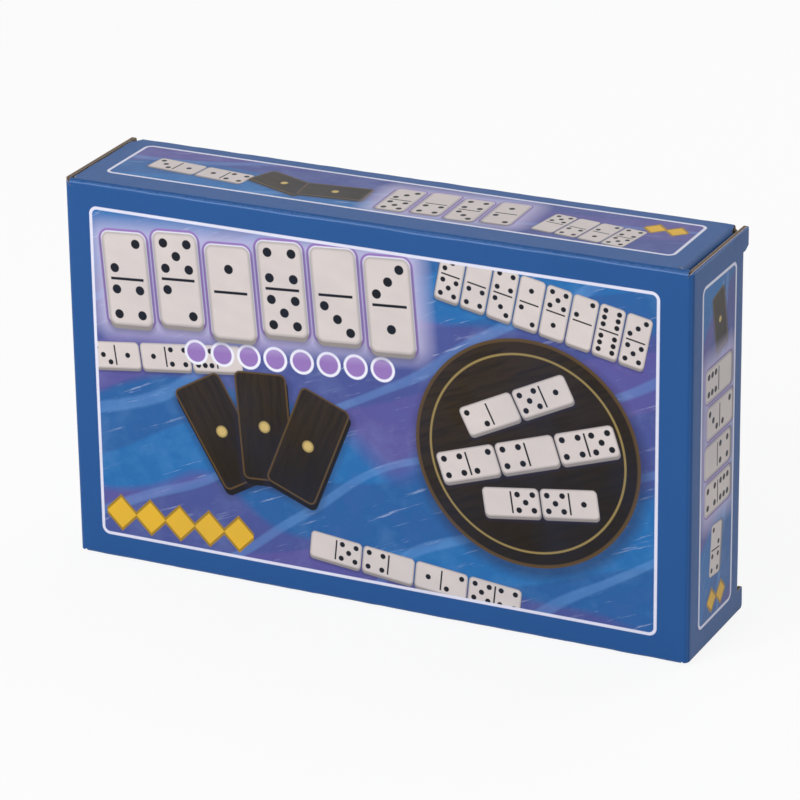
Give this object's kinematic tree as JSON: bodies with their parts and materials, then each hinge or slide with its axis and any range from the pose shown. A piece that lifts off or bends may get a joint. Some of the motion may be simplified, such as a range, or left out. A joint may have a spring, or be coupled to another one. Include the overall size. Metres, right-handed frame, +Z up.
{
  "type": "domino storage box",
  "caption": "Printed tuck-end carton with opening end panels, holding a hinged wooden case filled with a set of domino tiles.",
  "frame": {"origin": "centre of the base that the carton stands on", "axes": "+X along the carton's long side, -Y out of its printed front panel, +Z up"},
  "size_m": [0.2096, 0.0444, 0.1263],
  "materials": {
    "printed_board": "satin coated print on fluted board",
    "case_wood": "dark lacquered wood",
    "case_lining": "flocked felt",
    "brass_fittings": "plated brass",
    "tile": "polished moulded tile"
  },
  "bodies": {
    "root": {"carton_sleeve": "printed_board", "tray_frame": "case_wood", "tray_floor": "case_wood", "tray_lining": "case_lining", "lid_frame": "case_wood", "lid_panel": "case_wood", "lid_lining": "case_lining", "right_hinge_tray_leaf": "brass_fittings", "right_hinge_lid_leaf": "brass_fittings", "right_hinge_pin": "brass_fittings", "left_hinge_tray_leaf": "brass_fittings", "left_hinge_lid_leaf": "brass_fittings", "left_hinge_pin": "brass_fittings", "hinge_screws": "brass_fittings", "clasp_lid_plate": "brass_fittings", "clasp_catch_plate": "brass_fittings", "clasp_hasp": "brass_fittings", "clasp_pin": "brass_fittings", "clasp_nails": "brass_fittings", "domino_0_0": "tile", "domino_0_1": "tile", "domino_0_2": "tile", "domino_0_3": "tile", "domino_0_4": "tile", "domino_0_5": "tile", "domino_0_6": "tile", "domino_1_1": "tile", "domino_1_2": "tile", "domino_1_3": "tile", "domino_1_4": "tile", "domino_1_5": "tile", "domino_1_6": "tile", "domino_2_2": "tile", "domino_2_3": "tile", "domino_2_4": "tile", "domino_2_5": "tile", "domino_2_6": "tile", "domino_3_3": "tile", "domino_3_4": "tile", "domino_3_5": "tile", "domino_3_6": "tile", "domino_4_4": "tile", "domino_4_5": "tile", "domino_4_6": "tile", "domino_5_5": "tile", "domino_5_6": "tile", "domino_6_6": "tile"},
    "right_end_panel": {"right_end_panel": "printed_board"},
    "right_tuck_flap": {"right_tuck_flap": "printed_board"},
    "right_top_dust_flap": {"right_top_dust_flap": "printed_board"},
    "right_bottom_dust_flap": {"right_bottom_dust_flap": "printed_board"},
    "left_end_panel": {"left_end_panel": "printed_board"},
    "left_tuck_flap": {"left_tuck_flap": "printed_board"},
    "left_top_dust_flap": {"left_top_dust_flap": "printed_board"},
    "left_bottom_dust_flap": {"left_bottom_dust_flap": "printed_board"}
  },
  "joints": [
    {"name": "right_end_open", "type": "hinge", "parent": "root", "child": "right_end_panel", "pos_m": [0.10405, -0.02141, 0.06315], "axis": [0, 0, -1], "range_deg": [0, 180]},
    {"name": "right_tuck_fold", "type": "hinge", "parent": "right_end_panel", "child": "right_tuck_flap", "pos_m": [0.10405, 0.01859, 0.06315], "axis": [0, 0, 1], "range_deg": [0, 45]},
    {"name": "right_top_dust_fold", "type": "hinge", "parent": "root", "child": "right_top_dust_flap", "pos_m": [0.10095, 0, 0.12555], "axis": [0, -1, 0], "range_deg": [0, 90]},
    {"name": "right_bottom_dust_fold", "type": "hinge", "parent": "root", "child": "right_bottom_dust_flap", "pos_m": [0.10095, 0, 0.00075], "axis": [0, 1, 0], "range_deg": [0, 90]},
    {"name": "left_end_open", "type": "hinge", "parent": "root", "child": "left_end_panel", "pos_m": [-0.10405, -0.02141, 0.06315], "axis": [0, 0, 1], "range_deg": [0, 180]},
    {"name": "left_tuck_fold", "type": "hinge", "parent": "left_end_panel", "child": "left_tuck_flap", "pos_m": [-0.10405, 0.01859, 0.06315], "axis": [0, 0, -1], "range_deg": [0, 45]},
    {"name": "left_top_dust_fold", "type": "hinge", "parent": "root", "child": "left_top_dust_flap", "pos_m": [-0.10095, 0, 0.12555], "axis": [0, 1, 0], "range_deg": [0, 90]},
    {"name": "left_bottom_dust_fold", "type": "hinge", "parent": "root", "child": "left_bottom_dust_flap", "pos_m": [-0.10095, 0, 0.00075], "axis": [0, -1, 0], "range_deg": [0, 90]}
  ],
  "couplings": [
    {"joint": "right_tuck_fold", "follows": "right_end_open", "ratio": 0.25},
    {"joint": "right_top_dust_fold", "follows": "right_end_open", "ratio": 0.5},
    {"joint": "right_bottom_dust_fold", "follows": "right_end_open", "ratio": 0.5},
    {"joint": "left_tuck_fold", "follows": "left_end_open", "ratio": 0.25},
    {"joint": "left_top_dust_fold", "follows": "left_end_open", "ratio": 0.5},
    {"joint": "left_bottom_dust_fold", "follows": "left_end_open", "ratio": 0.5}
  ]
}
